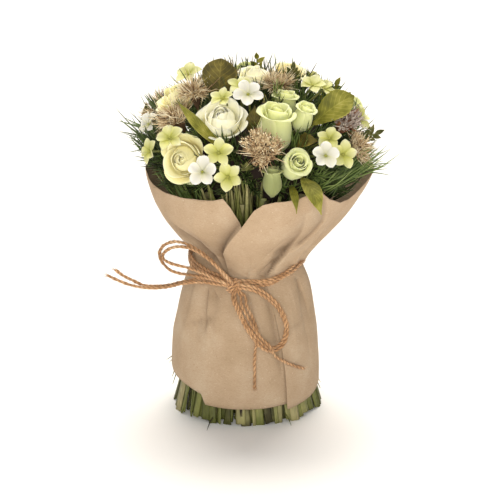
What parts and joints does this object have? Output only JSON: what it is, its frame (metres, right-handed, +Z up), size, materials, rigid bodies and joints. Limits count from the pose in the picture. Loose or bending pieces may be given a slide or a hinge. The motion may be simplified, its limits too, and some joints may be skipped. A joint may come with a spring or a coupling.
{
  "type": "flower bouquet",
  "caption": "Dried flower bouquet wrapped in a kraft paper sheet, tied at the waist with a jute bow, that stands upright on its flared bundle of cut stems.",
  "frame": {"origin": "middle of the cut stem ends that the bouquet stands on", "axes": "+Z up along the sheaf, -Y towards the front with the bow, +X towards the bouquet's right as seen from the front"},
  "size_m": [0.2181, 0.2014, 0.2897],
  "materials": {
    "kraft_paper": "matte unbleached kraft",
    "cut_stems": "matte dried stem",
    "jute_twine": "twisted jute fibre",
    "cream_petals": "matte dried petal",
    "ivory_petals": "matte dried petal",
    "lime_petals": "matte dried petal",
    "blossom_petals": "matte dried petal",
    "white_petals": "matte dried petal",
    "seed_bracts": "matte dry bract",
    "brown_leaf": "satin preserved leaf",
    "olive_leaf": "satin preserved leaf",
    "dark_leaf": "satin preserved leaf",
    "needle_grass": "matte dried needle"
  },
  "bodies": {
    "root": {"paper_wrap": "kraft_paper", "stem_bundle": "cut_stems", "twine_tie": "jute_twine", "loop_left_upper": "jute_twine", "loop_left_lower": "jute_twine", "loop_right": "jute_twine", "tail_left_long": "jute_twine", "tail_left_short": "jute_twine", "tail_right_long": "jute_twine", "tail_right_hanging": "jute_twine", "rose_1": "cream_petals", "rose_2": "cream_petals", "rose_3": "cream_petals", "rose_4": "cream_petals", "rose_5": "ivory_petals", "rose_6": "cream_petals", "rose_7": "cream_petals", "bud_1": "lime_petals", "bud_2": "lime_petals", "bud_3": "lime_petals", "bud_4": "lime_petals", "bud_5": "lime_petals", "bud_6": "lime_petals", "bud_7": "lime_petals", "blossoms_1": "blossom_petals", "blossoms_2": "blossom_petals", "blossoms_3": "blossom_petals", "blossoms_4": "blossom_petals", "blossoms_5": "blossom_petals", "blossoms_6": "blossom_petals", "blossoms_7": "blossom_petals", "blossoms_8": "blossom_petals", "blossoms_9": "white_petals", "blossoms_10": "white_petals", "blossoms_11": "white_petals", "blossoms_12": "white_petals", "blossoms_13": "white_petals", "seed_head_1": "seed_bracts", "seed_head_2": "seed_bracts", "seed_head_3": "seed_bracts", "seed_head_4": "seed_bracts", "seed_head_5": "seed_bracts", "seed_head_6": "seed_bracts", "seed_head_7": "seed_bracts", "seed_head_8": "seed_bracts", "leaf_1": "brown_leaf", "leaf_2": "olive_leaf", "leaf_3": "brown_leaf", "leaf_4": "olive_leaf", "leaf_5": "olive_leaf", "leaf_6": "olive_leaf", "leaf_7": "brown_leaf", "leaf_8": "olive_leaf", "leaf_9": "brown_leaf", "sprig_1": "dark_leaf", "sprig_2": "olive_leaf", "sprig_3": "dark_leaf", "sprig_4": "olive_leaf", "sprig_5": "dark_leaf", "needle_foliage": "needle_grass"}
  },
  "joints": []
}
